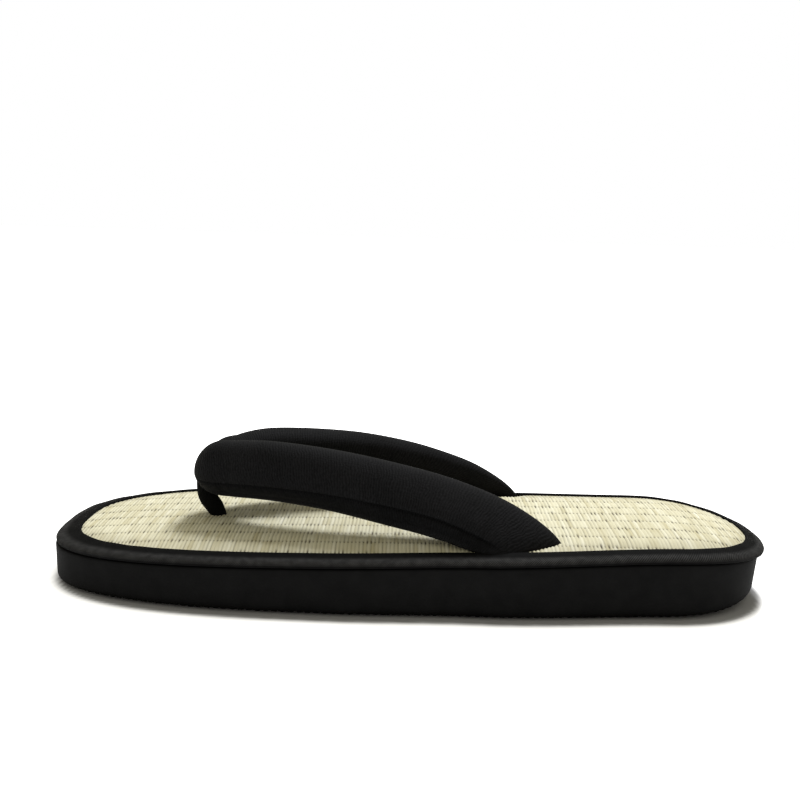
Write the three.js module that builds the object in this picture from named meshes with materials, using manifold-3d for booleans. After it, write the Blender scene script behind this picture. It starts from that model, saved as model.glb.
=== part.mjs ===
// Tatami slipper for the left foot: a foam wedge sole, a rush mat with a taped edge,
// and a padded thong strap on a toe post.
// Millimetres, +Z up, floor at z = 0, toe towards -X, inner side of the foot towards +Y.

import * as THREE from "three";
import Module from "manifold-3d";

const wasm = await Module();
wasm.setup();

// Driving dimensions of the outline, seen from above
const LENGTH = 264;
const BALL_HALF = 51.9;
const WAIST_HALF = 49.1;
const HEEL_HALF = 42;
const INNER_WAIST_HALF = 46.4;
const INNER_HEEL_HALF = 43.6;
const OUTER_BALL_X = -28;
const INNER_BALL_X = -60;
const WAIST_X = 25;
const HEEL_X = 100;
const TOE_ROUND = 100;
const TOE_POWER = 2.87;
const HEEL_ROUND = 42;
const HEEL_POWER = 2.1;
const RIM_STEPS = 56;

// Driving heights
const MAT_EDGE_MID = 21.5;
const WEDGE_RISE = 0.0282;
const HEEL_DROOP = 3.05;
const HEEL_DROOP_X = 88;
const TOE_DROOP = 0.6;
const TOE_DROOP_X = -60;
const MAT_DEPTH = 3.8;
const MAT_CROWN = 1.15;
const TOE_SPRING = 0.3;
const TOE_SPRING_X = -45;
const HEEL_SPRING = 2.2;
const HEEL_SPRING_X = 70;
const GAP = 0.3;

// How far the tape reaches in over the mat, and how far the sole wall stands in under the tape
const TAPE_REACH = { toe: 8.8, heel: 6.9, outer: 7, inner: 8 };
const WALL_TOP = { toe: 0.2, heel: 2.2, outer: 0.8, inner: 0.8 };
const WALL_FOOT = { toe: 0.4, heel: 3.2, outer: 1.3, inner: 1.3 };

// Rounding of the sole's lower edge: distance in from the wall foot, height over the tread
const LOWER_EDGE = [
  { inset: 4.6, rise: 0 },
  { inset: 2.2, rise: 0.45 },
  { inset: 0.8, rise: 1.6 },
  { inset: 0.15, rise: 3.6 },
];
const TOE_EDGE_SHARE = 0.7;

// Section of the edge tape: share of its reach (0 outside, 1 at the mat) and height over the sole's top
const TAPE_SECTION = [
  { share: 1.0, rise: 0.3 },
  { share: 1.0, rise: 3.8 },
  { share: 0.92, rise: 4.0 },
  { share: 0.62, rise: 3.6 },
  { share: 0.32, rise: 3.15 },
  { share: 0.1, rise: 2.65 },
  { share: 0.0, rise: 1.7 },
  { share: 0.03, rise: 0.8 },
  { share: 0.2, rise: 0.3 },
];

// Strap arms from the nose to the slit: upper inner edge, lower outer edge, half thickness
const OUTER_ARM = [
  { upX: -69.2, upY: 3.2, upZ: 49.8, lowX: -70.2, lowY: 10.4, lowZ: 30.4, half: 8.5 },
  { upX: -51.3, upY: 8.8, upZ: 51.4, lowX: -50.4, lowY: 18.2, lowZ: 31.2, half: 8.5 },
  { upX: -28.2, upY: 14.1, upZ: 50, lowX: -29.4, lowY: 25.9, lowZ: 30.8, half: 8.2 },
  { upX: -5.4, upY: 17.9, upZ: 46.3, lowX: -10.3, lowY: 32.2, lowZ: 29, half: 7.4 },
  { upX: 16.9, upY: 21.2, upZ: 41.2, lowX: 6.2, lowY: 37.1, lowZ: 27, half: 6.3 },
  { upX: 37.8, upY: 25.6, upZ: 34, lowX: 19, lowY: 41.2, lowZ: 24, half: 4.8 },
  { upX: 53.4, upY: 29.4, upZ: 23.6, lowX: 28.5, lowY: 43.2, lowZ: 20.8, half: 3 },
  { upX: 54.6, upY: 30.6, upZ: 13.5, lowX: 33, lowY: 42, lowZ: 13.5, half: 2.2 },
];
const INNER_ARM = [
  { upX: -68.2, upY: 3.4, upZ: 49, lowX: -68.8, lowY: 10.4, lowZ: 29.7, half: 8.5 },
  { upX: -54.3, upY: 11.4, upZ: 51, lowX: -53.4, lowY: 20.8, lowZ: 31.2, half: 8.3 },
  { upX: -28.2, upY: 19.6, upZ: 48.9, lowX: -29.4, lowY: 31.2, lowZ: 30.8, half: 7.9 },
  { upX: -6.2, upY: 22.6, upZ: 45.3, lowX: -11.1, lowY: 35.3, lowZ: 29.4, half: 7.2 },
  { upX: 12.3, upY: 26.2, upZ: 40.1, lowX: 1.6, lowY: 37.6, lowZ: 27.3, half: 6.2 },
  { upX: 28.9, upY: 31, upZ: 33.5, lowX: 10.8, lowY: 39.4, lowZ: 24.2, half: 4.8 },
  { upX: 42.6, upY: 36.2, upZ: 23.4, lowX: 20, lowY: 40.2, lowZ: 20.6, half: 3 },
  { upX: 43.4, upY: 36.6, upZ: 13.5, lowX: 23, lowY: 39.2, lowZ: 13.5, half: 2.2 },
];
const STRAP_STEPS = 36;
const STRAP_POWER = 2.4;
const NOSE_REACH = 12.6;
const NOSE_POWER = 2;
const NOSE_STEPS = 7;
const SEAM_ANGLE = 60;
const SEAM_DEPTH = 0.9;
const LINING_STEP = 0.45;

// Toe post from the sole up into the nose: position along the sole, height, half width
const POST_ROWS = [
  { x: -72.2, z: 12, half: 2.6 },
  { x: -72.8, z: 17, half: 2.7 },
  { x: -73.6, z: 20.6, half: 2.9 },
  { x: -75.1, z: 23.2, half: 3.4 },
  { x: -76.9, z: 25.6, half: 3.5 },
  { x: -78.2, z: 28.5, half: 3.4 },
  { x: -78.8, z: 32.5, half: 3.2 },
  { x: -78.8, z: 37, half: 2.7 },
];
const POST_STEPS = 10;
const POST_SIDES = 16;

function smooth(t) {
  const c = Math.min(1, Math.max(0, t));
  return c * c * (3 - 2 * c);
}

// Rounded end: 0 at the tip, 1 from t = 1 on
function endCap(t, power) {
  const c = Math.min(1, Math.max(0, t));
  return Math.pow(1 - Math.pow(1 - c, power), 1 / power);
}

function halfWidth(x, outer) {
  const ballX = outer ? OUTER_BALL_X : INNER_BALL_X;
  const waist = outer ? WAIST_HALF : INNER_WAIST_HALF;
  const heel = outer ? HEEL_HALF : INNER_HEEL_HALF;
  if (x < WAIST_X) {
    return BALL_HALF + (waist - BALL_HALF) * smooth((x - ballX) / (WAIST_X - ballX));
  }
  return waist + (heel - waist) * smooth((x - WAIST_X) / (HEEL_X - WAIST_X));
}

// Height of the sole's top, which the mat and the tape lie on
function deck(x) {
  const heel = Math.max(0, (x - HEEL_DROOP_X) / (125 - HEEL_DROOP_X));
  const toe = Math.max(0, (TOE_DROOP_X - x) / (124 + TOE_DROOP_X));
  const droop = HEEL_DROOP * heel * heel + TOE_DROOP * toe * toe;
  return MAT_EDGE_MID + WEDGE_RISE * x - droop - MAT_DEPTH;
}

// Height of the tread, lifted a little at the toe and at the heel
function tread(x) {
  const toe = Math.max(0, (TOE_SPRING_X - x) / (132 + TOE_SPRING_X));
  const heel = Math.max(0, (x - HEEL_SPRING_X) / (132 - HEEL_SPRING_X));
  return TOE_SPRING * toe * toe + HEEL_SPRING * heel * heel;
}

// One closed ring round the slipper, the outline moved in by the given insets
function rim(inset, height) {
  const ring = [];
  const start = -LENGTH / 2 + inset.toe;
  const end = LENGTH / 2 - inset.heel;
  for (let k = 0; k < 2 * RIM_STEPS; k++) {
    const turn = (Math.PI * k) / RIM_STEPS;
    const outer = k <= RIM_STEPS;
    const x = start + ((end - start) * (1 - Math.cos(turn))) / 2;
    const wide = halfWidth(x, outer) - (outer ? inset.outer : inset.inner);
    const toe = endCap((x - start) / (TOE_ROUND - inset.toe), TOE_POWER);
    const heel = endCap((end - x) / (HEEL_ROUND - inset.heel), HEEL_POWER);
    const atTip = k === 0 || k === RIM_STEPS;
    const y = atTip ? 0 : wide * toe * heel * (outer ? -1 : 1);
    ring.push(new THREE.Vector3(x, y, height(x)));
  }
  return ring;
}

function insetSum(a, b, share) {
  const sum = {};
  for (const side of ["toe", "heel", "outer", "inner"]) {
    sum[side] = a[side] + (typeof b === "number" ? b : b[side] * share);
  }
  return sum;
}

function insetMix(a, b, share) {
  const mix = {};
  for (const side of ["toe", "heel", "outer", "inner"]) {
    mix[side] = a[side] + (b[side] - a[side]) * share;
  }
  return mix;
}

// Walls between neighbouring rings, each ring running the same way round
function wallFaces(ringCount, ringSize, looped) {
  const faces = [];
  const last = looped ? ringCount : ringCount - 1;
  for (let r = 0; r < last; r++) {
    const low = r * ringSize;
    const high = ((r + 1) % ringCount) * ringSize;
    for (let k = 0; k < ringSize; k++) {
      const next = (k + 1) % ringSize;
      faces.push([low + k, low + next, high + next], [low + k, high + next, high + k]);
    }
  }
  return faces;
}

// Flat cover across a ring, in strips from one side of the slipper to the other
function stripFaces(base, ringSize, up) {
  const faces = [];
  const half = ringSize / 2;
  const add = (a, b, c) => faces.push(up ? [a, b, c] : [a, c, b]);
  add(base, base + 1, base + ringSize - 1);
  for (let k = 1; k < half - 1; k++) {
    add(base + k, base + k + 1, base + ringSize - k - 1);
    add(base + k, base + ringSize - k - 1, base + ringSize - k);
  }
  add(base + half - 1, base + half, base + half + 1);
  return faces;
}

function solidFrom(points, faces) {
  const vertProperties = new Float32Array(points.flatMap((p) => [p.x, p.y, p.z]));
  const triVerts = new Uint32Array(faces.flat());
  return new wasm.Manifold(new wasm.Mesh({ numProp: 3, vertProperties, triVerts }));
}

function geometryFrom(solid) {
  const mesh = solid.getMesh();
  const geometry = new THREE.BufferGeometry();
  geometry.setAttribute("position", new THREE.BufferAttribute(mesh.vertProperties, 3));
  geometry.setIndex(new THREE.BufferAttribute(mesh.triVerts, 1));
  geometry.computeVertexNormals();
  return geometry;
}

function stackSolid(rings) {
  const size = rings[0].length;
  const faces = wallFaces(rings.length, size, false);
  faces.push(...stripFaces(0, size, false));
  faces.push(...stripFaces((rings.length - 1) * size, size, true));
  return solidFrom(rings.flat(), faces);
}

// Foam wedge: flat tread, rounded lower edge, nearly upright wall
function outsoleSolid() {
  const rings = [];
  for (const row of LOWER_EDGE) {
    const round = { toe: row.inset * TOE_EDGE_SHARE, heel: row.inset, outer: row.inset, inner: row.inset };
    rings.push(rim(insetSum(WALL_FOOT, round, 1), (x) => tread(x) + row.rise));
  }
  rings.push(rim(insetMix(WALL_FOOT, WALL_TOP, 0.5), (x) => (tread(x) + deck(x)) / 2 + 1));
  rings.push(rim(WALL_TOP, (x) => deck(x) - 0.7));
  rings.push(rim(insetSum(WALL_TOP, 0.6), deck));
  return stackSolid(rings);
}

// Tape rolled over the rim, one ring with a rounded section
function tapeSolid() {
  const rings = TAPE_SECTION.map((row) => {
    const inset = insetSum({ toe: 0, heel: 0, outer: 0, inner: 0 }, TAPE_REACH, row.share);
    return rim(inset, (x) => deck(x) + row.rise);
  });
  const turned = rings.reverse();
  return solidFrom(turned.flat(), wallFaces(turned.length, turned[0].length, true));
}

// Rush mat inside the tape, crowned along its middle
function matSolid() {
  const inset = insetSum(TAPE_REACH, GAP);
  const edge = rim(inset, (x) => deck(x) + MAT_DEPTH);
  const rings = [rim(inset, (x) => deck(x) + GAP), edge];
  for (const share of [0.86, 0.66, 0.42, 0.18]) {
    rings.push(
      edge.map((p) => {
        const spine = Math.min(85, Math.max(-75, p.x));
        const x = spine + (p.x - spine) * share;
        return new THREE.Vector3(x, p.y * share, deck(x) + MAT_DEPTH + MAT_CROWN * (1 - share * share));
      })
    );
  }
  return stackSolid(rings);
}

// Closed tube from a list of rings, each end closed with a fan
function tubeSolid(rings) {
  const size = rings[0].length;
  const points = rings.flat();
  const faces = wallFaces(rings.length, size, false);
  const middle = (ring) => ring.reduce((sum, p) => sum.add(p), new THREE.Vector3()).divideScalar(size);
  const first = points.push(middle(rings[0])) - 1;
  const last = points.push(middle(rings[rings.length - 1])) - 1;
  const top = (rings.length - 1) * size;
  for (let k = 0; k < size; k++) {
    const next = (k + 1) % size;
    faces.push([first, next, k], [last, top + k, top + next]);
  }
  return solidFrom(points, faces);
}

const signedPower = (v, power) => Math.sign(v) * Math.pow(Math.abs(v), power);

// Places round the strap's section, closer together at the seam
function sectionAngles() {
  const angles = [];
  for (let deg = 0; deg < 360; deg += 15) {
    if (Math.abs(deg - SEAM_ANGLE) > 8) {
      angles.push(deg);
    }
  }
  angles.push(SEAM_ANGLE - 5, SEAM_ANGLE, SEAM_ANGLE + 5);
  return angles.sort((a, b) => a - b);
}

// One padded arm; grow gives the same arm with a clearance all round it
function armSolid(inner, grow) {
  const side = inner ? 1 : -1;
  const upper = new THREE.CatmullRomCurve3([], false, "catmullrom", 0.5);
  const lower = new THREE.CatmullRomCurve3([], false, "catmullrom", 0.5);
  const thick = new THREE.CatmullRomCurve3([], false, "catmullrom", 0.5);
  for (const row of inner ? INNER_ARM : OUTER_ARM) {
    upper.points.push(new THREE.Vector3(row.upX, row.upY, row.upZ));
    lower.points.push(new THREE.Vector3(row.lowX, row.lowY, row.lowZ));
    thick.points.push(new THREE.Vector3(row.half, 0, 0));
  }
  const centre = (t) => upper.getPoint(t).add(lower.getPoint(t)).multiplyScalar(0.5);
  const angles = sectionAngles();
  const rings = [];
  const ringAt = (t, offset, scale, forward) => {
    const middle = centre(t);
    const along = centre(Math.min(1, t + 0.004)).sub(centre(Math.max(0, t - 0.004))).normalize();
    const across = lower.getPoint(t).sub(middle);
    const reach = across.length() + grow;
    across.normalize();
    const out = new THREE.Vector3().crossVectors(along, across).normalize();
    const half = thick.getPoint(t).x + grow;
    const fade = 1 - smooth((t - 0.72) / 0.12);
    middle.addScaledVector(along, offset);
    rings.push(
      angles.map((deg) => {
        const rad = THREE.MathUtils.degToRad(deg);
        const c = signedPower(Math.cos(rad), 2 / STRAP_POWER);
        const s = signedPower(Math.sin(rad), 2 / STRAP_POWER);
        let dip = deg === SEAM_ANGLE ? SEAM_DEPTH : 0;
        dip = deg < SEAM_ANGLE && deg > 0 ? LINING_STEP : dip;
        const p = middle.clone();
        p.addScaledVector(across, (reach - dip * fade * forward) * c * scale);
        p.addScaledVector(out, (half - dip * fade * forward) * s * scale);
        p.y *= side;
        return p;
      })
    );
  };
  for (let j = NOSE_STEPS; j >= 1; j--) {
    const turn = (Math.PI / 2) * (j / (NOSE_STEPS + 0.35));
    const offset = -(NOSE_REACH + grow) * Math.pow(Math.sin(turn), 2 / NOSE_POWER);
    ringAt(0, offset, Math.pow(Math.cos(turn), 2 / NOSE_POWER), Math.cos(turn));
  }
  for (let i = 0; i <= STRAP_STEPS; i++) {
    ringAt(i / STRAP_STEPS, i === STRAP_STEPS ? grow : 0, 1, 1);
  }
  if (!inner) {
    rings.forEach((ring) => ring.reverse());
  }
  return tubeSolid(rings);
}

function postSolid(grow) {
  const curve = new THREE.CatmullRomCurve3(POST_ROWS.map((r) => new THREE.Vector3(r.x, r.half, r.z)));
  const rings = [];
  for (let i = 0; i <= POST_STEPS; i++) {
    const p = curve.getPoint(i / POST_STEPS);
    const along = curve.getTangent(i / POST_STEPS).setY(0).normalize();
    const end = i === 0 ? -grow : i === POST_STEPS ? grow : 0;
    const ring = [];
    for (let k = 0; k < POST_SIDES; k++) {
      const turn = (2 * Math.PI * k) / POST_SIDES;
      const front = (p.y + grow) * Math.cos(turn);
      const x = p.x + front * along.z + end * along.x;
      const z = p.z - front * along.x + end * along.z;
      ring.push(new THREE.Vector3(x, (p.y + grow) * Math.sin(turn), z));
    }
    rings.push(ring);
  }
  return tubeSolid(rings);
}

const outerArm = armSolid(false, 0);
const innerArm = armSolid(true, 0);
const outerSlit = armSolid(false, GAP);
const innerSlit = armSolid(true, GAP);
const postHole = postSolid(GAP);

const strap = outerArm.add(innerArm).subtract(postHole);
const mat = matSolid().subtract(outerSlit).subtract(innerSlit).subtract(postHole);
const tape = tapeSolid().subtract(outerSlit).subtract(innerSlit);
const outsole = outsoleSolid().subtract(outerSlit).subtract(innerSlit).subtract(postHole);
const post = postSolid(0);

const foam = new THREE.MeshStandardMaterial({ color: 0x161617, roughness: 0.75, metalness: 0 });
const tapeCloth = new THREE.MeshStandardMaterial({ color: 0x1c1c1e, roughness: 0.55, metalness: 0 });
const rush = new THREE.MeshStandardMaterial({ color: 0xd8d2b2, roughness: 0.7, metalness: 0 });
const strapCloth = new THREE.MeshStandardMaterial({ color: 0x19191a, roughness: 0.9, metalness: 0 });
const postCloth = new THREE.MeshStandardMaterial({ color: 0x121213, roughness: 0.9, metalness: 0 });

const slipper = new THREE.Group();
const pieces = [
  { name: "outsole", solid: outsole, material: foam },
  { name: "edge_tape", solid: tape, material: tapeCloth },
  { name: "tatami_insole", solid: mat, material: rush },
  { name: "strap", solid: strap, material: strapCloth },
  { name: "toe_post", solid: post, material: postCloth },
];
for (const piece of pieces) {
  const mesh = new THREE.Mesh(geometryFrom(piece.solid), piece.material);
  mesh.name = piece.name;
  slipper.add(mesh);
}

export default slipper;
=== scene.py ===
# %% [markdown]
# # A slipper with a rush footbed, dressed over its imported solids
# The real slipper is a foam wedge with a woven rush mat on it, a dark tape rolled over the rim,
# and a padded thong strap that stands on a slim post between the toes.
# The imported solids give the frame: they could be shown as they are, but cloth, rush and foam need
# finer surfaces, so each piece here is a formula on a grid, laid exactly where its solid is.

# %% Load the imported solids
import math

import bpy
import numpy as np
from mathutils import Matrix, Vector


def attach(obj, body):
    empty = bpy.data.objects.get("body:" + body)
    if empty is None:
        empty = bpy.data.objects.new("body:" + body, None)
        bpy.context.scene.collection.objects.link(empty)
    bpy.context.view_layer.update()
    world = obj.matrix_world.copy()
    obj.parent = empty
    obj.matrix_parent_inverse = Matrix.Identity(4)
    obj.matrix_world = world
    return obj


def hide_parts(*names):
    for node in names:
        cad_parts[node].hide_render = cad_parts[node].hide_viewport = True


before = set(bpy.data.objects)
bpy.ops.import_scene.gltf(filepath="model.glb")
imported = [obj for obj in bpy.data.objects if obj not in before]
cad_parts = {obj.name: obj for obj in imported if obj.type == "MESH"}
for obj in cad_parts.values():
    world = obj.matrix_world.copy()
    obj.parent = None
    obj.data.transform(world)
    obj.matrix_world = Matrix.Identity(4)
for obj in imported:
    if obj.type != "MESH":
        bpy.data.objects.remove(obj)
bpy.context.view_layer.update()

MM = 0.001

# %% [markdown]
# ## The camera
# The photograph looks at the outer side from a little above, with the camera turned slightly about
# its own line of sight. A camera could be placed by eye, but here its place and its three turns were
# solved from the edges of the sole and the mat, so they are written down as numbers.

# %% Camera
LENS_MM = 48.6
CAMERA_BACK = 0.39869
CAMERA_SIDE = -0.00537
CAMERA_HEIGHT = 0.13532
PITCH_DEG = 9.70
ROLL_DEG = 1.77
YAW_DEG = 1.65


def camera_matrix():
    """Right, up and back as columns: pitch about X, then roll about the view, then yaw about Z."""
    pitch = math.radians(PITCH_DEG)
    roll = math.radians(ROLL_DEG)
    right = Vector((1, 0, 0))
    up = Vector((0, math.sin(pitch), math.cos(pitch)))
    forward = Vector((0, math.cos(pitch), -math.sin(pitch)))
    rolled_right = right * math.cos(roll) + up * math.sin(roll)
    rolled_up = up * math.cos(roll) - right * math.sin(roll)
    turn = Matrix((rolled_right, rolled_up, -forward)).transposed().to_4x4()
    place = Matrix.Translation((CAMERA_SIDE, -CAMERA_BACK, CAMERA_HEIGHT))
    return Matrix.Rotation(math.radians(YAW_DEG), 4, "Z") @ place @ turn


camera_data = bpy.data.cameras.new("photo_camera")
camera_data.lens = LENS_MM
camera_data.sensor_width = 36
camera_data.clip_start = 0.01
camera = bpy.data.objects.new("photo_camera", camera_data)
bpy.context.scene.collection.objects.link(camera)
camera.matrix_world = camera_matrix()
bpy.context.scene.camera = camera
print("camera at", tuple(round(v, 4) for v in camera.matrix_world.translation))

# %% [markdown]
# ## Light
# The shadow of the strap falls towards the viewer, so the main light is high and behind, and as broad
# as the shadow's edge is soft. A pale, slightly warm sky fills the shadows, and the camera sees pure
# white past the floor.

# %% Sky and lights
KEY_POWER = 12.5
KEY_SIZE = 0.3
KEY_PLACE = (0.18, 0.54, 0.85)
SKY_STRENGTH = 0.57
SKY_COLOUR = (1.0, 0.96, 0.80, 1)
KEY_COLOUR = (0.94, 0.96, 1.0)

scene = bpy.context.scene
scene.view_settings.view_transform = "Standard"
scene.view_settings.look = "None"


def new_material(name):
    """An empty node material: returns it, its node tree and its Principled shader."""
    material = bpy.data.materials.new(name)
    material.use_nodes = True
    return material, material.node_tree, material.node_tree.nodes["Principled BSDF"]


def white_sky():
    """A pale sky for the light, and pure white where the camera sees past the floor."""
    world = bpy.data.worlds.new("studio_sky")
    scene.world = world
    world.use_nodes = True
    tree = world.node_tree
    tree.nodes.clear()
    path = tree.nodes.new("ShaderNodeLightPath")
    fill = tree.nodes.new("ShaderNodeBackground")
    fill.inputs["Strength"].default_value = SKY_STRENGTH
    seen = tree.nodes.new("ShaderNodeBackground")
    seen.inputs["Strength"].default_value = 1.0
    fill.inputs["Color"].default_value = SKY_COLOUR
    seen.inputs["Color"].default_value = (1, 1, 1, 1)
    mix = tree.nodes.new("ShaderNodeMixShader")
    out = tree.nodes.new("ShaderNodeOutputWorld")
    tree.links.new(path.outputs["Is Camera Ray"], mix.inputs[0])
    tree.links.new(fill.outputs[0], mix.inputs[1])
    tree.links.new(seen.outputs[0], mix.inputs[2])
    tree.links.new(mix.outputs[0], out.inputs[0])


def area_light(name, place, target, power, size):
    """A square soft light at place, facing target."""
    data = bpy.data.lights.new(name, "AREA")
    data.energy = power
    data.color = KEY_COLOUR
    data.size = size
    lamp = bpy.data.objects.new(name, data)
    scene.collection.objects.link(lamp)
    aim = Vector(target) - Vector(place)
    lamp.matrix_world = Matrix.Translation(place) @ aim.to_track_quat("-Z", "Y").to_matrix().to_4x4()
    return lamp


white_sky()
area_light("key_light", KEY_PLACE, (0, 0, 0.02), KEY_POWER, KEY_SIZE)
print("sky and key light set")

# %% [markdown]
# ## The outline
# Sole, tape and mat share one outline, wide at the ball, narrower at the waist and heel. It could be
# drawn as a curve by hand; a half width as a function of the length, with a rounded cap at each end,
# keeps all the layers parallel. The same numbers drive the solids.

# %% Outline and heights
LENGTH = 264.0
BALL_HALF = 51.9
# outer and inner side: where the ball starts to narrow, half width at the waist, half width at the heel
OUTER_SIDE = (-28.0, 49.1, 42.0)
INNER_SIDE = (-60.0, 46.4, 43.6)
WAIST_X, HEEL_X = 25.0, 100.0
TOE_ROUND, TOE_POWER = 100.0, 2.87
HEEL_ROUND, HEEL_POWER = 42.0, 2.1
MAT_DEPTH, MAT_CROWN = 3.8, 1.15
TAPE_REACH = dict(toe=8.8, heel=6.9, outer=7.0, inner=8.0)


def smooth(t):
    """3t^2 - 2t^3 between 0 and 1."""
    t = np.clip(t, 0, 1)
    return t * t * (3 - 2 * t)


def end_cap(t, power):
    """A superellipse quarter: 0 at the tip, 1 from t = 1 on."""
    return (1 - (1 - np.clip(t, 0, 1)) ** power) ** (1 / power)


def half_width(x, outer):
    """Ball to waist to heel, eased by smooth()."""
    ball_x, waist, heel = OUTER_SIDE if outer else INNER_SIDE
    front = BALL_HALF + (waist - BALL_HALF) * smooth((x - ball_x) / (WAIST_X - ball_x))
    back = waist + (heel - waist) * smooth((x - WAIST_X) / (HEEL_X - WAIST_X))
    return np.where(x < WAIST_X, front, back)


def side_width(x, inset, outer):
    """Half width of one side at x, with the outline moved in by the insets."""
    start, end = -LENGTH / 2 + inset["toe"], LENGTH / 2 - inset["heel"]
    wide = half_width(x, outer) - inset["outer" if outer else "inner"]
    toe = end_cap((x - start) / (TOE_ROUND - inset["toe"]), TOE_POWER)
    heel = end_cap((end - x) / (HEEL_ROUND - inset["heel"]), HEEL_POWER)
    return wide * toe * heel


def rim(inset, steps):
    """The outline as a ring of 2 * steps points: toe, outer side, heel, inner side."""
    turn = np.pi * np.arange(2 * steps) / steps
    start, end = -LENGTH / 2 + inset["toe"], LENGTH / 2 - inset["heel"]
    x = start + (end - start) * (1 - np.cos(turn)) / 2
    outer = -side_width(x, inset, True)
    inner = side_width(x, inset, False)
    y = np.where(np.arange(2 * steps) <= steps, outer, inner)
    y[[0, steps]] = 0
    return x, y


def scaled(inset, share):
    """Each inset times a share."""
    return {side: value * share for side, value in inset.items()}


def added(a, b):
    """Two sets of insets, side by side, summed."""
    return {side: a[side] + b[side] for side in a}


def even(value):
    """The same inset on all four sides."""
    return dict(toe=value, heel=value, outer=value, inner=value)


def deck(x):
    """Top of the foam wedge: a gentle rise to the heel, drooping at both ends."""
    heel = np.clip((x - 88) / 37, 0, None)
    toe = np.clip((-60 - x) / 64, 0, None)
    return 21.5 + 0.0282 * x - 3.05 * heel**2 - 0.6 * toe**2 - MAT_DEPTH


def tread(x):
    """Underside: flat from ball to heel, lifted a little at both ends."""
    toe = np.clip((-45 - x) / 87, 0, None)
    heel = np.clip((x - 70) / 62, 0, None)
    return 0.3 * toe**2 + 2.2 * heel**2


print("widest:", 2 * BALL_HALF, "mm, mat edge at the middle:", float(deck(np.array(0.0)) + MAT_DEPTH), "mm")

# %% [markdown]
# ## Grids into meshes
# Every piece is a grid of points, open or closed round one direction. One helper numbers the quads
# and remembers each corner's row and column, so that a cloth pattern can follow the surface without
# a jump where the grid closes on itself.

# %% Mesh helpers


def grid_faces(rows, cols, closed=False):
    """Quads of a grid stored row by row, with the row and column of each corner before it wraps."""
    r, c = np.meshgrid(np.arange(rows - 1), np.arange(cols if closed else cols - 1), indexing="ij")
    corner_row = np.stack([r, r, r + 1, r + 1], -1).reshape(-1, 4)
    corner_col = np.stack([c, c + 1, c + 1, c], -1).reshape(-1, 4)
    return corner_row * cols + corner_col % cols, corner_row, corner_col


def outward(points, faces):
    """True if the faces of a closed mesh point out: the signed volume of their fans is above zero."""
    total = 0.0
    for face in faces:
        face = np.asarray(face)
        if face.ndim == 1:
            face = face[None, :]
        for k in range(1, face.shape[1] - 1):
            a, b, c = points[face[:, 0]], points[face[:, k]], points[face[:, k + 1]]
            total += np.einsum("ij,ij->i", a, np.cross(b, c)).sum()
    return total > 0


def make_piece(name, points, blocks, material, node, uv=None):
    """Puts points (mm) and face blocks into a mesh that stands for a solid; uv has a pair per corner."""
    turned = not outward(points, blocks)
    faces = []
    corners = []
    for i, block in enumerate(blocks):
        block = np.atleast_2d(np.asarray(block))
        pairs = np.zeros(block.shape + (2,)) if uv is None or uv[i] is None else uv[i]
        if turned:
            block, pairs = block[:, ::-1], pairs[:, ::-1]
        faces.extend(block.tolist())
        corners.append(pairs.reshape(-1, 2))
    mesh = bpy.data.meshes.new(name)
    mesh.from_pydata((points * MM).tolist(), [], faces)
    mesh.polygons.foreach_set("use_smooth", np.ones(len(faces), bool))
    layer = mesh.uv_layers.new(name="cloth_mm")
    layer.data.foreach_set("uv", np.concatenate(corners).astype(np.float32).ravel())
    mesh.materials.append(material)
    obj = bpy.data.objects.new(name, mesh)
    scene.collection.objects.link(obj)
    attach(obj, "root")
    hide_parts(node)
    mesh.validate()
    print(name, len(points), "points,", len(faces), "faces")
    return obj


def add_value(obj, name, values):
    """A number per point that the material can read by name."""
    layer = obj.data.attributes.new(name, "FLOAT", "POINT")
    layer.data.foreach_set("value", np.ascontiguousarray(values, np.float32).ravel())


# %% [markdown]
# ## Node helpers for the finishes
# Cloth, rush and foam are all a colour that varies, a bump and a roughness. These helpers add the
# usual nodes and links so that each finish below reads as a short recipe.

# %% Material helpers


def add_node(tree, kind, **values):
    """A node with its named input values set."""
    made = tree.nodes.new(kind)
    for key, value in values.items():
        made.inputs[key.replace("_", " ")].default_value = value
    return made


def object_noise(tree, scale, detail=3.0, stretch=(1, 1, 1)):
    """Noise on Object coordinates; stretch above 1 packs it closer along that axis."""
    place = tree.nodes.new("ShaderNodeTexCoord")
    mapping = add_node(tree, "ShaderNodeMapping", Scale=stretch)
    noise = add_node(tree, "ShaderNodeTexNoise", Scale=scale, Detail=detail)
    tree.links.new(place.outputs["Object"], mapping.inputs["Vector"])
    tree.links.new(mapping.outputs["Vector"], noise.inputs["Vector"])
    return noise.outputs["Fac"]


def colour_ramp(tree, factor, stops):
    """Colours by factor; stops are (position, (r, g, b))."""
    ramp = tree.nodes.new("ShaderNodeValToRGB")
    while len(ramp.color_ramp.elements) < len(stops):
        ramp.color_ramp.elements.new(0.5)
    for element, (position, colour) in zip(ramp.color_ramp.elements, stops):
        element.position = position
        element.color = (*colour, 1)
    tree.links.new(factor, ramp.inputs["Fac"])
    return ramp.outputs["Color"]


def maths(tree, operation, *values):
    """The operation on up to three values, where each is a socket or a number."""
    made = tree.nodes.new("ShaderNodeMath")
    made.operation = operation
    for socket, value in zip(made.inputs, values):
        if isinstance(value, (int, float)):
            socket.default_value = value
        else:
            tree.links.new(value, socket)
    return made.outputs["Value"]


def cloth_axis(tree, axis):
    """The distance in mm along one direction of the piece's own cloth map."""
    place = add_node(tree, "ShaderNodeUVMap")
    place.uv_map = "cloth_mm"
    split = tree.nodes.new("ShaderNodeSeparateXYZ")
    tree.links.new(place.outputs["UV"], split.inputs["Vector"])
    return split.outputs[axis]


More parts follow.
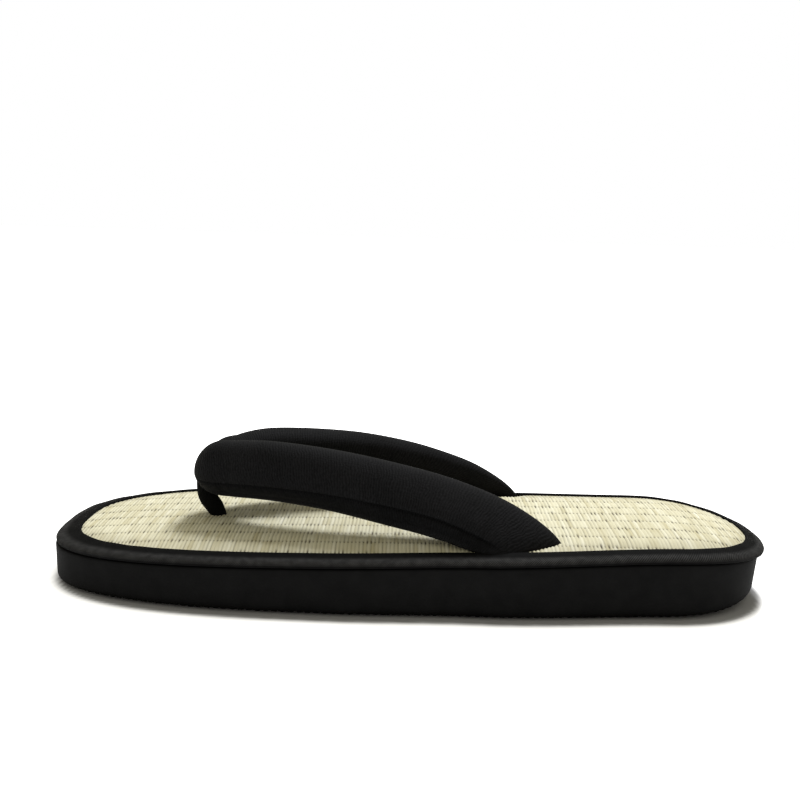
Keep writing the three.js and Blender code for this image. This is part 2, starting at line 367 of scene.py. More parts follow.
def wave(tree, distance, pitch):
    """0 to 1 and back once per pitch: half of 1 + sin(2 pi distance / pitch)."""
    angle = maths(tree, "MULTIPLY", distance, 2 * math.pi / pitch)
    return maths(tree, "MULTIPLY_ADD", maths(tree, "SINE", angle), 0.5, 0.5)


def bump(tree, shader, height, strength, distance):
    """Height in units of distance (metres), tied to the shader's normal."""
    made = add_node(tree, "ShaderNodeBump", Strength=strength, Distance=distance)
    tree.links.new(height, made.inputs["Height"])
    tree.links.new(made.outputs["Normal"], shader.inputs["Normal"])


def blend(tree, a, b):
    """Colour a times colour b."""
    made = tree.nodes.new("ShaderNodeMix")
    made.data_type = "RGBA"
    made.blend_type = "MULTIPLY"
    made.inputs["Factor"].default_value = 1.0
    tree.links.new(a, made.inputs[6])
    tree.links.new(b, made.inputs[7])
    return made.outputs[2]


print("helpers ready")

# %% [markdown]
# ## The studio floor
# The slipper stands on a white floor, with only a short dark shadow in front of the sole. A plain white
# square would show the whole shadow; here the floor is a grid whose colour is darker close to the sole,
# a painted contact shadow, and which glows more with the distance from it, painted light that cuts
# the cast shadow short.

# %% Floor
GLOW_SHIFT, GLOW_START, GLOW_REACH = -3.5, 0.6, 4.4
NEAR_GLOW, FAR_GLOW = 0.8, 0.4
FAR_START, FAR_REACH = 60.0, 200.0
FLOOR_INSET = 3.0


def floor_piece():
    """A square grid at z = 0, close near the sole, with painted glow growing with the distance from the sole
    and a painted contact shadow in its colour near it.
    """
    wide = np.array([300.0, 500.0, 1000.0, 2500.0, 6000.0])
    x = np.concatenate([-wide[::-1], np.linspace(-180, 180, 181), wide])
    y = np.concatenate([-wide[::-1], np.linspace(-100, 100, 121), wide])
    x, y = np.meshgrid(x, y, indexing="ij")
    foot = even(FLOOR_INSET)
    edge_x, edge_y = rim(foot, 240)
    edge_y = edge_y + GLOW_SHIFT
    away = np.hypot(x[..., None] - edge_x, y[..., None] - edge_y).min(-1)
    under_y = y - GLOW_SHIFT
    inside = (under_y > -side_width(x, foot, True)) & (under_y < side_width(x, foot, False))
    away = np.where(inside & (np.abs(x) < LENGTH / 2 - FLOOR_INSET), 0, away)
    # painted light: the floor glows more with the distance from the sole, which cuts its cast shadow short
    near_glow = NEAR_GLOW * smooth((away - GLOW_START) / GLOW_REACH)
    far_glow = FAR_GLOW * smooth((away - FAR_START) / FAR_REACH)
    faces, _, _ = grid_faces(*x.shape)
    mesh = bpy.data.meshes.new("studio_floor")
    mesh.from_pydata((np.stack([x, y, 0 * x], -1).reshape(-1, 3) * MM).tolist(), [], faces.tolist())
    obj = bpy.data.objects.new("studio_floor", mesh)
    scene.collection.objects.link(obj)
    add_value(obj, "painted_floor_glow", near_glow + far_glow)
    paint, tree, shader = new_material("floor_white")
    shader.inputs["Roughness"].default_value = 0.9
    shader.inputs["Specular IOR Level"].default_value = 0.1
    shader.inputs["Emission Color"].default_value = (1, 1, 1, 1)
    level = tree.nodes.new("ShaderNodeAttribute")
    level.attribute_name = "painted_floor_glow"
    tree.links.new(level.outputs["Fac"], shader.inputs["Emission Strength"])
    # painted contact shadow: the base colour is darker where the glow is low, close to the sole
    shade = colour_ramp(tree, level.outputs["Fac"], [(0.0, (0.36, 0.36, 0.38)), (0.5, (0.86, 0.86, 0.86))])
    tree.links.new(shade, shader.inputs["Base Color"])
    mesh.materials.append(paint)
    print("floor grid", x.shape)


floor_piece()

# %% [markdown]
# ## Foam for the sole
# The sole is black moulded foam, matt and very even, with the faint mottling of its cells. A flat
# black would look like a hole in the picture, so noise varies the colour a little and a fine bump
# breaks the sheen.

# %% Foam finish


def foam_finish():
    """Near-black foam: two noises for the mottling and the cell bump."""
    material, tree, shader = new_material("black_foam")
    mottle = object_noise(tree, 160.0, 4.0)
    tone = colour_ramp(tree, mottle, [(0.3, (0.0037, 0.0037, 0.0039)), (0.75, (0.0058, 0.0058, 0.0060))])
    tree.links.new(tone, shader.inputs["Base Color"])
    shader.inputs["Roughness"].default_value = 0.75
    shader.inputs["Specular IOR Level"].default_value = 0.04
    cells = object_noise(tree, 2600.0, 2.0)
    bump(tree, shader, cells, 0.25, 0.0002)
    return material


foam = foam_finish()
print("finish:", foam.name)

# %% [markdown]
# ## The outsole
# A wedge with a nearly upright wall, a rounded lower edge and a finely ribbed tread whose teeth show
# along the bottom edge. It could be an extruded outline with a bevel; rings of the outline, each at
# its own inset and height, follow the slight taper at the heel as well. The underside is a grid from
# one side to the other, and the ribs are a wave along the length.

# %% Outsole
WALL_TOP = dict(toe=-0.3, heel=2.2, outer=0.8, inner=0.8)
WALL_FOOT = dict(toe=0.0, heel=3.2, outer=1.3, inner=1.3)
EDGE_RADIUS = 4.4
TOE_EDGE_SHARE = 0.5
RIB_PITCH, RIB_DEPTH = 2.9, 0.7
SOLE_STEPS = 640
UNDER_COLUMNS = 16


def rib(x):
    """Tread grooves: a raised cosine cut up into the foam."""
    return RIB_DEPTH * (0.5 + 0.5 * np.cos(2 * np.pi * x / RIB_PITCH)) ** 2


def edge_rise(x):
    """Height of the rounding at the lower edge, smaller round the toe."""
    return EDGE_RADIUS * (1 - 0.6 * smooth((-90 - x) / 35))


def outsole_piece():
    """Rings from the top edge down the wall and round the lower edge, then a grid across the tread."""
    rings = []
    top_inset = added(WALL_TOP, even(0.6))
    for inset, drop in ((top_inset, 0.0), (added(WALL_TOP, even(0.15)), 0.25), (WALL_TOP, 0.9)):
        x, y = rim(inset, SOLE_STEPS)
        rings.append(np.stack([x, y, deck(x) - drop], -1))
    for share in np.linspace(0.15, 1, 6):
        inset = added(scaled(WALL_TOP, 1 - share), scaled(WALL_FOOT, share))
        x, y = rim(inset, SOLE_STEPS)
        low = tread(x) + edge_rise(x)
        rings.append(np.stack([x, y, deck(x) - 0.9 + (low - deck(x) + 0.9) * share], -1))
    for angle in np.radians([12, 25, 38, 51, 64, 77, 90]):
        reach = EDGE_RADIUS * (1 - math.cos(angle))
        inset = added(WALL_FOOT, dict(toe=reach * TOE_EDGE_SHARE, heel=reach, outer=reach, inner=reach))
        x, y = rim(inset, SOLE_STEPS)
        rise = edge_rise(x) * (1 - math.sin(angle)) + rib(x) * (angle / 1.6) ** 2
        rings.append(np.stack([x, y, tread(x) + rise], -1))
    size = 2 * SOLE_STEPS
    walls, _, _ = grid_faces(len(rings), size, closed=True)
    near = np.arange(SOLE_STEPS + 1)
    far = (size - near) % size
    base = (len(rings) - 1) * size
    low_ring = rings[-1]
    share = np.linspace(0, 1, UNDER_COLUMNS + 1)[1:-1]
    share = share[None, :, None]
    inside = low_ring[near][1:-1, None] * (1 - share) + low_ring[far][1:-1, None] * share
    first = len(rings) * size
    index = np.zeros((SOLE_STEPS + 1, UNDER_COLUMNS + 1), int)
    index[:, 0] = base + near
    index[:, -1] = base + far
    index[1:-1, 1:-1] = first + np.arange(inside.shape[0] * inside.shape[1]).reshape(inside.shape[:2])
    index[0, 1:-1] = base
    index[-1, 1:-1] = base + SOLE_STEPS
    quads = np.stack([index[:-1, :-1], index[1:, :-1], index[1:, 1:], index[:-1, 1:]], -1)
    toe_tris = quads[0][:, [0, 1, 2]]
    heel_tris = quads[-1][:, [0, 1, 3]]
    middle = quads[1:-1].reshape(-1, 4)
    cover = np.stack([near[1:-2], far[1:-2], far[2:-1], near[2:-1]], -1)
    tips = np.array([[0, size - 1, 1], [SOLE_STEPS, SOLE_STEPS - 1, SOLE_STEPS + 1]])
    points = np.concatenate([np.concatenate(rings), inside.reshape(-1, 3)])
    blocks = [block[:, ::-1] for block in (walls, middle, toe_tris, heel_tris, cover, tips)]
    return make_piece("outsole_foam", points, blocks, foam, "outsole")


outsole_piece()

# %% [markdown]
# ## The edge tape
# A woven tape is folded over the rim of the mat and the board under it, so its top slopes down to a
# rounded edge that overhangs the foam. Carrying one rounded profile round the outline gives that
# shape at once; the tape gathers slightly on the tight curves at the toe and the heel, which a small
# ripple along the rim shows.

# %% Tape finish
TAPE_GIRTH = 16.0


def tape_finish():
    """Dark twill tape: a diagonal wave on the cloth map for the weave, paler along the roll as a painted
    highlight.
    """
    material, tree, shader = new_material("binding_tape")
    along, across = cloth_axis(tree, "X"), cloth_axis(tree, "Y")
    twill = wave(tree, maths(tree, "ADD", along, across), 0.8)
    dust = object_noise(tree, 420.0, 6.0)
    share = maths(tree, "DIVIDE", across, TAPE_GIRTH)
    # painted highlight: the base colour is paler in a band along the rounded roll of the tape
    dark, painted_roll_highlight = (0.0036, 0.0036, 0.0037), (0.0265, 0.0262, 0.0266)
    base = colour_ramp(tree, share, [(0.46, dark), (0.58, painted_roll_highlight), (0.72, painted_roll_highlight), (0.79, dark)])
    factor = maths(tree, "ADD", maths(tree, "MULTIPLY", twill, 0.4), maths(tree, "MULTIPLY", dust, 0.6))
    vary = colour_ramp(tree, factor, [(0.3, (0.35, 0.35, 0.36)), (0.72, (1.5, 1.5, 1.48))])
    tree.links.new(blend(tree, base, vary), shader.inputs["Base Color"])
    shader.inputs["Roughness"].default_value = 0.8
    shader.inputs["Specular IOR Level"].default_value = 0.03
    bump(tree, shader, maths(tree, "ADD", twill, dust), 0.35, 0.00015)
    return material


tape_cloth = tape_finish()
print("finish:", tape_cloth.name)

# %% Edge tape
TAPE_STEPS = 560
# profile round the tape: share of its reach (0 outside, 1 at the mat), height over the foam in mm
TAPE_PROFILE = np.array([
    (1.00, 0.4), (1.005, 2.6), (1.00, 3.75), (0.975, 4.02), (0.93, 4.10), (0.84, 4.02), (0.72, 3.82),
    (0.58, 3.58), (0.44, 3.36), (0.30, 3.12), (0.18, 2.88), (0.09, 2.58), (0.03, 2.18), (0.0, 1.70),
    (0.005, 1.25), (0.035, 0.75), (0.10, 0.42), (0.20, 0.32), (0.6, 0.32),
])


def tape_piece():
    """The profile carried round the rim, with a ripple where the tape turns tightly."""
    rings = []
    length = None
    for share, rise in TAPE_PROFILE:
        x, y = rim(scaled(TAPE_REACH, share), TAPE_STEPS)
        if length is None:
            step = np.hypot(np.diff(x, append=x[:1]), np.diff(y, append=y[:1]))
            length = np.concatenate([[0], np.cumsum(step)])
        tight = smooth((-70 - x) / 45) + smooth((x - 82) / 30)
        ripple = 0.07 * tight * np.sin(length[:-1] / 2.1 + 0.8 * np.sin(length[:-1] / 9.0))
        rings.append(np.stack([x, y, deck(x) + rise + ripple * smooth(rise / 2.0)], -1))
    cross = np.hypot(np.diff(TAPE_PROFILE[:, 0]) * 8.0, np.diff(TAPE_PROFILE[:, 1]))
    width = np.concatenate([[0], np.cumsum(cross), [cross.sum() + 3.2]])
    rows = len(rings)
    faces, row, col = grid_faces(rows + 1, 2 * TAPE_STEPS, closed=True)
    pairs = np.stack([length[col], width[row]], -1)
    faces = np.where(faces >= rows * 2 * TAPE_STEPS, faces - rows * 2 * TAPE_STEPS, faces)
    points = np.concatenate(rings)
    return make_piece("binding_tape", points, [faces], tape_cloth, "edge_tape", [pairs])


tape_piece()

# %% [markdown]
# ## The rush mat
# Rush stalks lie side by side across the slipper, and every warp thread along it draws them together,
# so rows of small pits run from toe to heel, and here and there a gap stays open between two
# stalks; pits and gaps are darkened with painted shade. A bump could suggest this, but the stalks catch
# the light one by one, so they are real relief: a height over x and y, sampled five times for each stalk.

# %% Rush finish
STRAW_STOPS = [
    (0.25, (0.51, 0.465, 0.30)),
    (0.42, (0.61, 0.575, 0.415)),
    (0.56, (0.66, 0.63, 0.475)),
    (0.72, (0.73, 0.705, 0.57)),
]
# colour of the painted shade in the pits, the gaps between stalks and along the mat's edges
PAINTED_SHADE_COLOUR = (0.026, 0.016, 0.006, 1)


def rush_finish():
    """Straw and pale green stalks: a tone per stalk, streaks along it, painted shade in the pits, gaps and
    edges.
    """
    material, tree, shader = new_material("woven_rush")
    tone = tree.nodes.new("ShaderNodeAttribute")
    tone.attribute_name = "stalk_tone"
    dip = tree.nodes.new("ShaderNodeAttribute")
    dip.attribute_name = "painted_mat_shade"
    streak = object_noise(tree, 260.0, 3.0, (3.0, 0.22, 1.0))
    blotch = object_noise(tree, 45.0, 3.0)
    factor = maths(tree, "MULTIPLY", tone.outputs["Fac"], 0.36)
    factor = maths(tree, "ADD", factor, maths(tree, "MULTIPLY", streak, 0.34))
    factor = maths(tree, "ADD", factor, maths(tree, "MULTIPLY", blotch, 0.25))
    straw = colour_ramp(tree, factor, STRAW_STOPS)
    # painted shade: the straw is mixed towards a dark brown in the pits, the gaps and near the edges
    mix = tree.nodes.new("ShaderNodeMix")
    mix.data_type = "RGBA"
    tree.links.new(dip.outputs["Fac"], mix.inputs["Factor"])
    tree.links.new(straw, mix.inputs[6])
    mix.inputs[7].default_value = PAINTED_SHADE_COLOUR
    tree.links.new(mix.outputs[2], shader.inputs["Base Color"])
    shader.inputs["Roughness"].default_value = 0.6
    shader.inputs["Specular IOR Level"].default_value = 0.06
    fibre = object_noise(tree, 900.0, 2.0, (3.0, 0.15, 1.0))
    bump(tree, shader, fibre, 0.3, 0.0002)
    return material


rush = rush_finish()
print("finish:", rush.name)

# %% Rush mat
STALK_PITCH, STALK_RISE = 1.36, 0.42
WARP_PITCH, WARP_HALF, SPLIT_SPREAD = 9.6, 0.75, 1.9
MAT_ROWS, MAT_COLUMNS = 940, 100
EDGE_ROLL = 0.7
POST_BASE = (-73.4, 0.0)
OUTER_SLIT = ((53.6, -29.4), (26.5, -43.0))
INNER_SLIT = ((42.6, 36.2), (18.5, 40.0))
MAT_SEED = 7


def weave(x, y):
    """Height 0 to 1, painted shade and tone: round stalks across, dipping at each warp, a pit between each
    two.
    """
    draw = np.random.default_rng(MAT_SEED)
    lean = x + 0.022 * y + 0.10 * np.sin(y / 7.0 + x / 31.0)
    stalk = np.floor(lean / STALK_PITCH).astype(int)
    within = lean / STALK_PITCH - stalk
    count = stalk.max() - stalk.min() + 1
    number = stalk - stalk.min()
    fat = 0.86 + 0.28 * draw.random(count)[number]
    part = np.floor(y / WARP_PITCH - 0.5).astype(int)
    tone = 0.35 * draw.random(count)[number] + 0.65 * draw.random((count, 16))[number, part + 8]
    round_top = np.sin(np.pi * within) ** 0.7 * fat
    warp = np.round(y / WARP_PITCH - 0.5).astype(int)
    off = y - (warp + 0.5) * WARP_PITCH
    under = (number + warp) % 2
    pulled = np.exp(-((off / WARP_HALF) ** 2))
    swell = 0.18 * np.abs(np.sin(np.pi * (y / WARP_PITCH - 0.5))) ** 0.7
    edge = number + (within > 0.5)
    beside = np.minimum(within, 1 - within)
    luck = draw.random((count + 1, 16))[edge, warp + 8]
    split = WARP_HALF * (1 + SPLIT_SPREAD * smooth((luck - 0.7) / 0.3))
    pit = np.exp(-((off / split) ** 2)) * np.exp(-((beside / 0.22) ** 2)) * (0.62 + 0.33 * luck)
    loose = draw.random((count + 1, 16))[edge, part + 8] ** 2
    gap = np.exp(-((beside / 0.14) ** 2)) * (0.12 + 0.42 * loose)
    # painted shade: darkness in the pits and in the open gaps between stalks
    dark = np.clip(np.maximum(1.25 * pit, gap), 0, 1)
    dip = (1 - (0.2 + 0.3 * under) * pulled) * (1 - 0.5 * np.clip(pit, 0, 1))
    return round_top * dip + swell, dark, tone


def from_line(x, y, line):
    """Distance in plan from a short line, here a slit."""
    (ax, ay), (bx, by) = line
    t = np.clip(((x - ax) * (bx - ax) + (y - ay) * (by - ay)) / ((bx - ax) ** 2 + (by - ay) ** 2), 0, 1)
    return np.hypot(x - ax - t * (bx - ax), y - ay - t * (by - ay))


def press_in(x, y):
    """How far the mat is pulled down round the post and along the two slits."""
    post = np.exp(-((np.hypot(x - POST_BASE[0], y - POST_BASE[1]) / 5.0) ** 2))
    outer_slit = np.exp(-((from_line(x, y, OUTER_SLIT) / 3.5) ** 2))
    inner_slit = np.exp(-((from_line(x, y, INNER_SLIT) / 3.5) ** 2))
    return 0.7 * post + 0.6 * (outer_slit + inner_slit)


def mat_piece():
    """Loops across the mat, one per row: the woven top from side to side, then two points underneath."""
    tuck = {side: reach - 0.35 for side, reach in TAPE_REACH.items()}
    start, end = -LENGTH / 2 + tuck["toe"] + 0.12, LENGTH / 2 - tuck["heel"] - 0.12
    x = np.linspace(start, end, MAT_ROWS)[:, None]
    across = np.linspace(0, 1, MAT_COLUMNS)[None, :]
    outer, inner = -side_width(x, tuck, True), side_width(x, tuck, False)
    y = outer + (inner - outer) * across
    x = x + 0 * y
    height, dip, tone = weave(x, y)
    from_middle = np.abs(2 * across - 1)
    ends = np.clip((-75 - x) / 48, 0, 1) + np.clip((x - 85) / 40, 0, 1)
    to_edge = (1 - from_middle) * np.abs(inner - outer) / 2
    crown = MAT_CROWN * (1 - from_middle**2) * (1 - ends**2)
    crown = crown + EDGE_ROLL * (smooth(to_edge / 9) * (1 - ends**4) - 0.4)
    edge = smooth(to_edge / 1.6)
    edge = edge * smooth((x - start) / 1.6) * smooth((end - x) / 1.6)
    z = deck(x) + MAT_DEPTH + crown + (height - 0.75) * STALK_RISE * edge - press_in(x, y) - 0.12
    top = np.stack([x, y, z], -1)
    under = np.stack([x[:, [-1, 0]], y[:, [-1, 0]], deck(x[:, [-1, 0]]) + 0.35], -1)
    points = np.concatenate([top, under], 1)
    cols = MAT_COLUMNS + 2
    faces, _, _ = grid_faces(MAT_ROWS, cols, closed=True)
    toe = np.arange(cols)[None, ::-1]
    heel = ((MAT_ROWS - 1) * cols + np.arange(cols))[None, :]
    piece = make_piece("rush_mat", points.reshape(-1, 3), [faces, toe, heel], rush, "tatami_insole")
    spare = np.zeros((MAT_ROWS, 2))
    add_value(piece, "stalk_tone", np.concatenate([tone, spare + 0.5], 1))
    # painted shade: the pits and gaps, plus a darkening within about 8 mm of both edges of the mat
    painted_pit_and_edge_shade = dip * edge + 0.2 * (1 - dip) * np.exp(-((to_edge / 8) ** 2))
    add_value(piece, "painted_mat_shade", np.concatenate([painted_pit_and_edge_shade, spare], 1))
    return piece


mat_piece()

# %% [markdown]
# ## The padded strap
# Each arm is foam in a sleeve of fine ribbed cloth, sewn along its outer lower face, joined to the
# other arm at the nose, and flattened where it goes down through the mat. A pad can be inflated by
# cloth simulation, but these arms are held to a known section along their whole length, so the
# section itself is carried along two edge curves, with the seam and a few creases pressed into it.

# %% Strap finish


def strap_finish():
    """Matt ribbed cloth: ribs across the arm from the cloth map, fuzz from noise, painted shade at the seam
    and lining, a little sheen.
    """
    material, tree, shader = new_material("ribbed_strap_cloth")
    along, across = cloth_axis(tree, "X"), cloth_axis(tree, "Y")
    slant = maths(tree, "ADD", along, maths(tree, "MULTIPLY", across, 0.25))
    wander = maths(tree, "MULTIPLY", object_noise(tree, 300.0, 3.0), 2.2)
    ribs = wave(tree, maths(tree, "ADD", slant, wander), 1.0)
    threads = wave(tree, maths(tree, "ADD", across, wander), 0.8)
    fuzz = object_noise(tree, 1100.0, 4.0)
    patch = object_noise(tree, 70.0, 3.0)
    factor = maths(tree, "ADD", maths(tree, "MULTIPLY", ribs, 0.22), maths(tree, "MULTIPLY", fuzz, 0.55))
    factor = maths(tree, "ADD", factor, maths(tree, "MULTIPLY", patch, 0.3))
    tone = colour_ramp(tree, factor, [(0.32, (0.0022, 0.0022, 0.0025)), (0.78, (0.0100, 0.0100, 0.0111))])
    # painted shade: the cloth is darkened in the seam groove and on the lower lining
    under = tree.nodes.new("ShaderNodeAttribute")
    under.attribute_name = "painted_seam_and_lining_shade"
    shade = colour_ramp(tree, under.outputs["Fac"], [(0.0, (1, 1, 1)), (1.0, (0.28, 0.28, 0.28))])
    tree.links.new(blend(tree, tone, shade), shader.inputs["Base Color"])
    shader.inputs["Roughness"].default_value = 0.85
    shader.inputs["Specular IOR Level"].default_value = 0.05
    shader.inputs["Sheen Weight"].default_value = 0.015
    shader.inputs["Sheen Roughness"].default_value = 0.5
    height = maths(tree, "ADD", ribs, maths(tree, "MULTIPLY", threads, 0.35))
    height = maths(tree, "ADD", height, maths(tree, "MULTIPLY", fuzz, 0.5))
    bump(tree, shader, height, 0.45, 0.0002)
    return material


strap_cloth = strap_finish()
print("finish:", strap_cloth.name)

# %% Strap
# columns: upper inner edge x y z, lower outer edge x y z, half thickness, all in mm
OUTER_ARM = np.array([
    (-69.2, 3.2, 49.8, -70.2, 10.4, 30.4, 8.5),
    (-51.3, 8.8, 51.4, -50.4, 18.2, 31.2, 8.5),
    (-28.2, 14.1, 50.0, -29.4, 25.9, 30.8, 8.2),
    (-5.4, 17.9, 46.3, -10.3, 32.2, 29.0, 7.4),
    (16.9, 21.2, 41.2, 6.2, 37.1, 27.0, 6.3),
    (37.8, 25.6, 34.0, 19.0, 41.2, 24.0, 4.8),
    (53.4, 29.4, 23.6, 28.5, 43.2, 20.8, 3.0),
    (54.6, 30.6, 13.5, 33.0, 42.0, 13.5, 2.2),
])
INNER_ARM = np.array([
    (-68.2, 3.4, 49.0, -68.8, 10.4, 29.7, 8.5),
    (-54.3, 11.4, 51.0, -53.4, 20.8, 31.2, 8.3),
    (-28.2, 19.6, 48.9, -29.4, 31.2, 30.8, 7.9),
    (-6.2, 22.6, 45.3, -11.1, 35.3, 29.4, 7.2),
    (12.3, 26.2, 40.1, 1.6, 37.6, 27.3, 6.2),
    (28.9, 31.0, 33.5, 10.8, 39.4, 24.2, 4.8),
    (42.6, 36.2, 23.4, 20.0, 40.2, 20.6, 3.0),
    (43.4, 36.6, 13.5, 23.0, 39.2, 13.5, 2.2),
])
STRAP_POWER = 2.4
NOSE_REACH, NOSE_DROP, NOSE_OVERLAP = 12.6, 1.3, 0.15
ARM_STEPS, NOSE_STEPS, ARM_SIDES, ARM_GIRTH = 260, 26, 112, 58.0
NOSE_SEAM_DEG, REAR_SEAM_DEG, SEAM_DEPTH, LINING_STEP = 49.0, 47.0, 1.5, 0.9
# creases: place along the arm 0 to 1, place round it in degrees, spread along, spread round, depth in mm
CREASES = np.array([
    (0.012, 30, 0.012, 26, 0.45),
    (0.045, 80, 0.012, 36, 0.22),
    (0.030, 130, 0.012, 30, 0.25),
    (0.660, 25, 0.016, 34, 0.30),
    (0.735, 40, 0.014, 30, 0.25),
    (0.640, 285, 0.016, 50, 0.40),
    (0.720, 265, 0.014, 50, 0.40),
    (0.350, 255, 0.014, 40, 0.25),
])


def through(rows, t):
    """Cubic pieces through the rows; the slope at a row is half the step between its neighbours."""
    padded = np.concatenate([2 * rows[:1] - rows[1:2], rows, 2 * rows[-1:] - rows[-2:-1]])
    place = np.clip(t, 0, 1) * (len(rows) - 1)
    k = np.minimum(place.astype(int), len(rows) - 2)
    f = (place - k)[:, None]
    p0, p1, p2, p3 = padded[k], padded[k + 1], padded[k + 2], padded[k + 3]
    a, b = (p2 - p0) / 2, (p3 - p1) / 2
    return p1 + a * f + (3 * (p2 - p1) - 2 * a - b) * f**2 + (2 * (p1 - p2) + a + b) * f**3


def unit(v):
    """Each vector divided by its length."""
    return v / np.linalg.norm(v, axis=-1, keepdims=True)


def power_of(v, power):
    """The size of v to a power, with v's sign kept."""
    return np.sign(v) * np.abs(v) ** power


def arm_surface(inner):
    """A superellipse between the two edges of an arm, capped at the nose, seam and creases pressed in."""
    rows = INNER_ARM if inner else OUTER_ARM
    turn = np.linspace(np.pi / 2, 0, NOSE_STEPS, endpoint=False)[1:]
    t = np.concatenate([np.zeros(len(turn)), np.linspace(0, 1, ARM_STEPS)])
    back = np.concatenate([-NOSE_REACH * np.sin(turn), np.zeros(ARM_STEPS)])
    size = np.concatenate([np.cos(turn), np.ones(ARM_STEPS)])
    here = through(rows, t)
    upper, lower, half = here[:, :3], here[:, 3:6], here[:, 6]
    middle = (upper + lower) / 2
    ahead, behind = through(rows, np.minimum(t + 0.004, 1)), through(rows, np.maximum(t - 0.004, 0))
    along = unit((ahead[:, :3] + ahead[:, 3:6]) - (behind[:, :3] + behind[:, 3:6]))
    across = lower - middle
    reach = np.linalg.norm(across, axis=1)
    across = unit(across)
    out = unit(np.cross(along, across))
    deg = np.arange(ARM_SIDES) * 360 / ARM_SIDES
    power = (2 / (2 + (STRAP_POWER - 2) * size))[:, None]
    c, s = power_of(np.cos(np.radians(deg)), power), power_of(np.sin(np.radians(deg)), power)
    fade = (1 - smooth((t - 0.74) / 0.12)) * size
    seam_deg = NOSE_SEAM_DEG + (REAR_SEAM_DEG - NOSE_SEAM_DEG) * smooth(t / 0.75)
    below = seam_deg[:, None] - deg[None, :]
    seam = SEAM_DEPTH * np.exp(-((below / 3.4) ** 2))
    lining = LINING_STEP * smooth(below / 5.0) * smooth(deg / 14.0)[None, :]
    press = fade[:, None] * (seam + lining)
    # painted shade: darker in the seam groove and on the lower lining below it
    shade = fade[:, None] * np.maximum(seam / SEAM_DEPTH, 0.6 * lining / LINING_STEP)
    for at, turned, long, wide, depth in CREASES:
        away = (deg - turned + 180) % 360 - 180
        here_along = np.exp(-(((t - at) / long) ** 2)) * size
        here_round = np.exp(-((away / wide) ** 2))
        press += depth * here_along[:, None] * here_round[None, :]
    slow = 0.16 * np.sin(9 * t[:, None] + np.radians(deg)[None, :] * 2) * size[:, None]
    press = press + slow
    middle = middle + along * back[:, None]
    middle[:, 2] -= NOSE_DROP * (1 - size**2)
    wide = (reach[:, None] - press) * c * size[:, None]
    thick = (half[:, None] - press) * s * size[:, None]
    points = middle[:, None, :] + across[:, None, :] * wide[..., None] + out[:, None, :] * thick[..., None]
    points[..., 1] = np.maximum(points[..., 1], -NOSE_OVERLAP)
    if not inner:
        points[..., 1] *= -1
    run = np.concatenate([[0], np.cumsum(np.linalg.norm(np.diff(points.mean(1), axis=0), axis=1))])
    girth = np.arange(ARM_SIDES + 1) / ARM_SIDES * ARM_GIRTH
    return points, run, girth, shade


def strap_piece():
    """Both arms in one mesh, each a closed tube with a fan at either end."""
    points, blocks, pairs, shades = [], [], [], []
    first = 0
    for inner in (False, True):
        grid, run, girth, shade = arm_surface(inner)
        rows = grid.shape[0]
        tips = np.stack([grid[0].mean(0), grid[-1].mean(0)])
        faces, row, col = grid_faces(rows, ARM_SIDES, closed=True)
        ring = np.arange(ARM_SIDES)
        following = (ring + 1) % ARM_SIDES
        tip = np.full(ARM_SIDES, rows * ARM_SIDES)
        nose = np.stack([tip, following, ring], -1)
        last = (rows - 1) * ARM_SIDES
        end = np.stack([tip + 1, last + ring, last + following], -1)
        arm = [faces, nose, end]
        blank = np.zeros((ARM_SIDES, 3, 2))
        maps = [np.stack([run[row], girth[col]], -1), blank, blank]
        flat = np.concatenate([grid.reshape(-1, 3), tips])
        if not outward(flat, arm):
            arm = [block[:, ::-1] for block in arm]
            maps = [m[:, ::-1] for m in maps]
        points.append(flat)
        shades.append(np.concatenate([shade.ravel(), [0, 0]]))
        blocks += [block + first for block in arm]
        pairs += maps
        first += len(flat)
    points = np.concatenate(points)
    piece = make_piece("padded_strap", points, blocks, strap_cloth, "strap", pairs)
    add_value(piece, "painted_seam_and_lining_shade", np.concatenate(shades))
    return piece


strap = strap_piece()

# %% [markdown]
# ## The toe post
# A slim rolled strip of the same dark cloth holds the nose down. It leans forward from the mat, and
# its cloth winds round it, so a tube along a short curve gets a spiral fold.

# %% Post finish


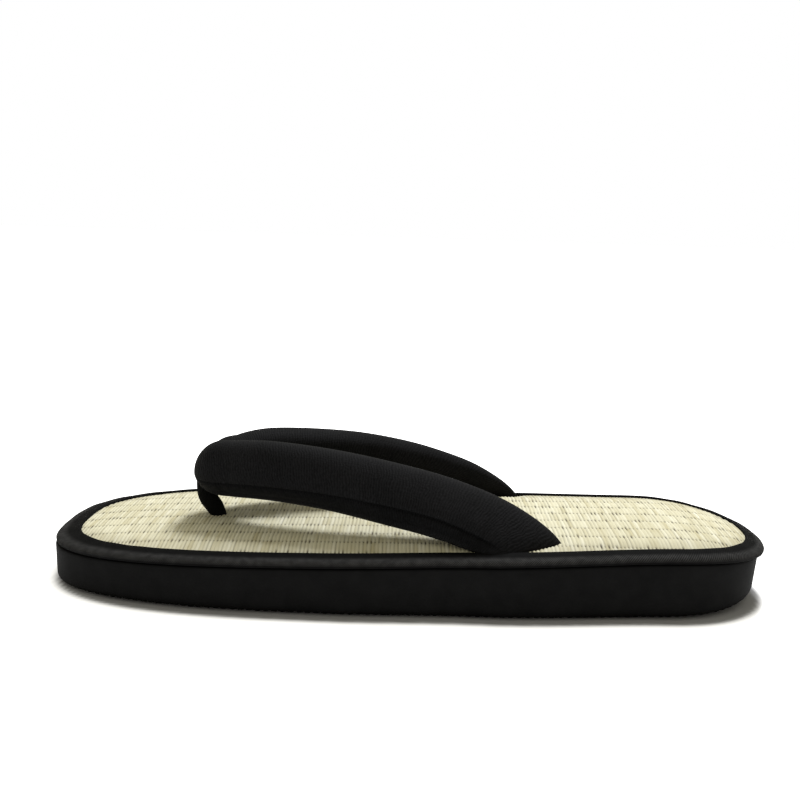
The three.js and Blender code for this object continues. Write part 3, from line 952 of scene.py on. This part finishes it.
def post_finish():
    """Matt black cloth with a close thread bump."""
    material, tree, shader = new_material("rolled_post_cloth")
    along, across = cloth_axis(tree, "X"), cloth_axis(tree, "Y")
    twist = wave(tree, maths(tree, "ADD", along, across), 0.8)
    fuzz = object_noise(tree, 1400.0, 3.0)
    factor = maths(tree, "ADD", maths(tree, "MULTIPLY", twist, 0.5), maths(tree, "MULTIPLY", fuzz, 0.5))
    tone = colour_ramp(tree, factor, [(0.2, (0.002, 0.002, 0.002)), (0.85, (0.005, 0.0049, 0.0047))])
    tree.links.new(tone, shader.inputs["Base Color"])
    shader.inputs["Roughness"].default_value = 0.9
    shader.inputs["Specular IOR Level"].default_value = 0.05
    bump(tree, shader, twist, 0.5, 0.0002)
    return material


post_cloth = post_finish()
print("finish:", post_cloth.name)

# %% Toe post
# columns: place along the sole, height, half width, all in mm
POST_ROWS = np.array([
    (-72.2, 12.0, 2.6), (-72.8, 17.0, 2.7), (-73.6, 20.6, 2.9), (-75.1, 23.2, 3.4),
    (-76.9, 25.6, 3.5), (-78.2, 28.5, 3.4), (-78.8, 32.5, 3.2), (-78.8, 37.0, 2.7),
])
POST_STEPS, POST_SIDES = 90, 48
POST_LENGTH, POST_GIRTH = 26.0, 19.0
POST_FOLD, POST_TWIST = 0.25, 7.0


def post_piece():
    """A round section along the post's curve, with a shallow spiral fold."""
    t = np.linspace(0, 1, POST_STEPS)
    here = through(POST_ROWS, t)
    step = unit(np.gradient(here[:, :2], axis=0))
    angle = np.arange(POST_SIDES) * 2 * np.pi / POST_SIDES
    fold = POST_FOLD * (0.5 + 0.5 * np.cos(angle[None, :] - POST_TWIST * t[:, None])) ** 6
    radius = here[:, 2][:, None] - fold
    front = radius * np.cos(angle)[None, :]
    x = here[:, 0][:, None] + front * step[:, 1][:, None]
    z = here[:, 1][:, None] - front * step[:, 0][:, None]
    y = radius * np.sin(angle)[None, :]
    grid = np.stack([x, y, z], -1)
    faces, row, col = grid_faces(POST_STEPS, POST_SIDES, closed=True)
    ends = np.stack([np.arange(POST_SIDES)[::-1], (POST_STEPS - 1) * POST_SIDES + np.arange(POST_SIDES)])
    pairs = [np.stack([t[row] * POST_LENGTH, col * POST_GIRTH / POST_SIDES], -1), None]
    points = grid.reshape(-1, 3)
    return make_piece("rolled_post", points, [faces, ends], post_cloth, "toe_post", pairs)


post_piece()
